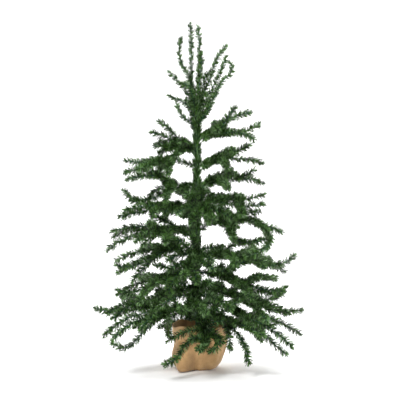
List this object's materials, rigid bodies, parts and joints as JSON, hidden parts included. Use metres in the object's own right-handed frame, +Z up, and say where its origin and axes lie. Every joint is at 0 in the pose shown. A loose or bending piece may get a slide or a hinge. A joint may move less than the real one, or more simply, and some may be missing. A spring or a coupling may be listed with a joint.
{
  "type": "tabletop tree",
  "caption": "Small wired artificial evergreen on a steel pole, with bendable needle branches and a weighted pot wrapped in gathered burlap.",
  "frame": {"origin": "middle of the burlap base's flat underside, on the surface it stands on", "axes": "+Z up along the pole; -Y is the side shown in the reference view, +X to its right"},
  "size_m": [0.3645, 0.2842, 0.6003],
  "materials": {
    "burlap": "woven jute, natural, slightly fuzzy",
    "pot_plastic": "moulded, matt",
    "cement": "cast cement, rough",
    "pole_steel": "dark green enamel",
    "green_tape": "crepe florist tape, matt",
    "green_wire": "green varnished wire",
    "needle_film": "thin PVC needles in two greens, soft sheen"
  },
  "bodies": {
    "stand": {"burlap_wrap": "burlap", "pot": "pot_plastic", "cement_weight": "cement", "pole_socket": "pot_plastic", "pole": "pole_steel", "trunk_tape": "green_tape", "trunk_garland": "needle_film", "leader_wires": "green_wire", "leader_needles": "needle_film"},
    "tier01_front": {"tier01_front_wire": "green_wire", "tier01_front_needles": "needle_film"},
    "tier01_right": {"tier01_right_wire": "green_wire", "tier01_right_needles": "needle_film"},
    "tier01_back": {"tier01_back_wire": "green_wire", "tier01_back_needles": "needle_film"},
    "tier02_left": {"tier02_left_wire": "green_wire", "tier02_left_needles": "needle_film"},
    "tier02_right": {"tier02_right_wire": "green_wire", "tier02_right_needles": "needle_film"},
    "tier03_left": {"tier03_left_wire": "green_wire", "tier03_left_needles": "needle_film"},
    "tier03_right": {"tier03_right_wire": "green_wire", "tier03_right_needles": "needle_film"},
    "tier03_front": {"tier03_front_wire": "green_wire", "tier03_front_needles": "needle_film"},
    "tier04_left": {"tier04_left_wire": "green_wire", "tier04_left_needles": "needle_film"},
    "tier04_right": {"tier04_right_wire": "green_wire", "tier04_right_needles": "needle_film"},
    "tier05_left": {"tier05_left_wire": "green_wire", "tier05_left_needles": "needle_film"},
    "tier05_right": {"tier05_right_wire": "green_wire", "tier05_right_needles": "needle_film"},
    "tier05_front": {"tier05_front_wire": "green_wire", "tier05_front_needles": "needle_film"},
    "tier06_left": {"tier06_left_wire": "green_wire", "tier06_left_needles": "needle_film"},
    "tier06_right": {"tier06_right_wire": "green_wire", "tier06_right_needles": "needle_film"},
    "tier07_left": {"tier07_left_wire": "green_wire", "tier07_left_needles": "needle_film"},
    "tier07_right": {"tier07_right_wire": "green_wire", "tier07_right_needles": "needle_film"},
    "tier07_front": {"tier07_front_wire": "green_wire", "tier07_front_needles": "needle_film"},
    "tier07_back": {"tier07_back_wire": "green_wire", "tier07_back_needles": "needle_film"},
    "tier08_left": {"tier08_left_wire": "green_wire", "tier08_left_needles": "needle_film"},
    "tier08_right": {"tier08_right_wire": "green_wire", "tier08_right_needles": "needle_film"},
    "tier09_left": {"tier09_left_wire": "green_wire", "tier09_left_needles": "needle_film"},
    "tier09_right": {"tier09_right_wire": "green_wire", "tier09_right_needles": "needle_film"},
    "tier10_left": {"tier10_left_wire": "green_wire", "tier10_left_needles": "needle_film"},
    "tier11_right": {"tier11_right_wire": "green_wire", "tier11_right_needles": "needle_film"}
  },
  "joints": [
    {"name": "tier01_front_bend", "type": "hinge", "parent": "stand", "child": "tier01_front", "pos_m": [0.00099, -0.0051, 0.092], "axis": [-0.9816, -0.1908, 0], "range_deg": [-5, 28]},
    {"name": "tier01_right_bend", "type": "hinge", "parent": "stand", "child": "tier01_right", "pos_m": [0.0038, -0.00355, 0.092], "axis": [-0.682, -0.7314, 0], "range_deg": [-10, 14]},
    {"name": "tier01_back_bend", "type": "hinge", "parent": "stand", "child": "tier01_back", "pos_m": [-0.00117, 0.00507, 0.092], "axis": [0.9744, 0.225, 0], "range_deg": [-7, 29]},
    {"name": "tier02_left_bend", "type": "hinge", "parent": "stand", "child": "tier02_left", "pos_m": [-0.00446, -0.00268, 0.112], "axis": [-0.515, 0.8572, 0], "range_deg": [-6, 12]},
    {"name": "tier02_right_bend", "type": "hinge", "parent": "stand", "child": "tier02_right", "pos_m": [0.00505, -0.00126, 0.112], "axis": [-0.2419, -0.9703, 0], "range_deg": [-8, 11]},
    {"name": "tier03_left_bend", "type": "hinge", "parent": "stand", "child": "tier03_left", "pos_m": [-0.0052, 0, 0.137], "axis": [0, 1, 0], "range_deg": [-15, 11]},
    {"name": "tier03_right_bend", "type": "hinge", "parent": "stand", "child": "tier03_right", "pos_m": [0.00519, 0.00036, 0.137], "axis": [0.0698, -0.9976, 0], "range_deg": [-12, 13]},
    {"name": "tier03_front_bend", "type": "hinge", "parent": "stand", "child": "tier03_front", "pos_m": [-0.00081, -0.00514, 0.137], "axis": [-0.9877, 0.1564, 0], "range_deg": [-20, 20]},
    {"name": "tier04_left_bend", "type": "hinge", "parent": "stand", "child": "tier04_left", "pos_m": [-0.00519, 0.00027, 0.168], "axis": [0.0523, 0.9986, 0], "range_deg": [-9, 23]},
    {"name": "tier04_right_bend", "type": "hinge", "parent": "stand", "child": "tier04_right", "pos_m": [0.00514, -0.00081, 0.168], "axis": [-0.1564, -0.9877, 0], "range_deg": [-10, 12]},
    {"name": "tier05_left_bend", "type": "hinge", "parent": "stand", "child": "tier05_left", "pos_m": [-0.00494, 0.00161, 0.202], "axis": [0.309, 0.9511, 0], "range_deg": [-18, 23]},
    {"name": "tier05_right_bend", "type": "hinge", "parent": "stand", "child": "tier05_right", "pos_m": [0.00519, -0.00027, 0.202], "axis": [-0.0523, -0.9986, 0], "range_deg": [-19, 29]},
    {"name": "tier05_front_bend", "type": "hinge", "parent": "stand", "child": "tier05_front", "pos_m": [-0.0009, -0.00512, 0.202], "axis": [-0.9848, 0.1736, 0], "range_deg": [-17, 30]},
    {"name": "tier06_left_bend", "type": "hinge", "parent": "stand", "child": "tier06_left", "pos_m": [-0.00516, -0.00063, 0.242], "axis": [-0.1219, 0.9925, 0], "range_deg": [-14, 21]},
    {"name": "tier06_right_bend", "type": "hinge", "parent": "stand", "child": "tier06_right", "pos_m": [0.00517, -0.00054, 0.242], "axis": [-0.1045, -0.9945, 0], "range_deg": [-19, 12]},
    {"name": "tier07_left_bend", "type": "hinge", "parent": "stand", "child": "tier07_left", "pos_m": [-0.00512, -0.0009, 0.285], "axis": [-0.1736, 0.9848, 0], "range_deg": [-20, 22]},
    {"name": "tier07_right_bend", "type": "hinge", "parent": "stand", "child": "tier07_right", "pos_m": [0.00517, 0.00054, 0.285], "axis": [0.1045, -0.9945, 0], "range_deg": [-11, 17]},
    {"name": "tier07_front_bend", "type": "hinge", "parent": "stand", "child": "tier07_front", "pos_m": [0.00117, -0.00507, 0.285], "axis": [-0.9744, -0.225, 0], "range_deg": [-10, 25]},
    {"name": "tier07_back_bend", "type": "hinge", "parent": "stand", "child": "tier07_back", "pos_m": [-0.00099, 0.0051, 0.285], "axis": [0.9816, 0.1908, 0], "range_deg": [-20, 30]},
    {"name": "tier08_left_bend", "type": "hinge", "parent": "stand", "child": "tier08_left", "pos_m": [-0.00519, 0.00027, 0.32], "axis": [0.0523, 0.9986, 0], "range_deg": [-20, 8]},
    {"name": "tier08_right_bend", "type": "hinge", "parent": "stand", "child": "tier08_right", "pos_m": [0.0052, 0, 0.32], "axis": [0, -1, 0], "range_deg": [-16, 12]},
    {"name": "tier09_left_bend", "type": "hinge", "parent": "stand", "child": "tier09_left", "pos_m": [-0.00519, -0.00036, 0.354], "axis": [-0.0698, 0.9976, 0], "range_deg": [-11, 16]},
    {"name": "tier09_right_bend", "type": "hinge", "parent": "stand", "child": "tier09_right", "pos_m": [0.0052, -0.00018, 0.354], "axis": [-0.0349, -0.9994, 0], "range_deg": [-11, 29]},
    {"name": "tier10_left_bend", "type": "hinge", "parent": "stand", "child": "tier10_left", "pos_m": [-0.0052, -0.00018, 0.386], "axis": [-0.0349, 0.9994, 0], "range_deg": [-12, 30]},
    {"name": "tier11_right_bend", "type": "hinge", "parent": "stand", "child": "tier11_right", "pos_m": [0.00519, -0.00027, 0.406], "axis": [-0.0523, -0.9986, 0], "range_deg": [-20, 30]}
  ]
}
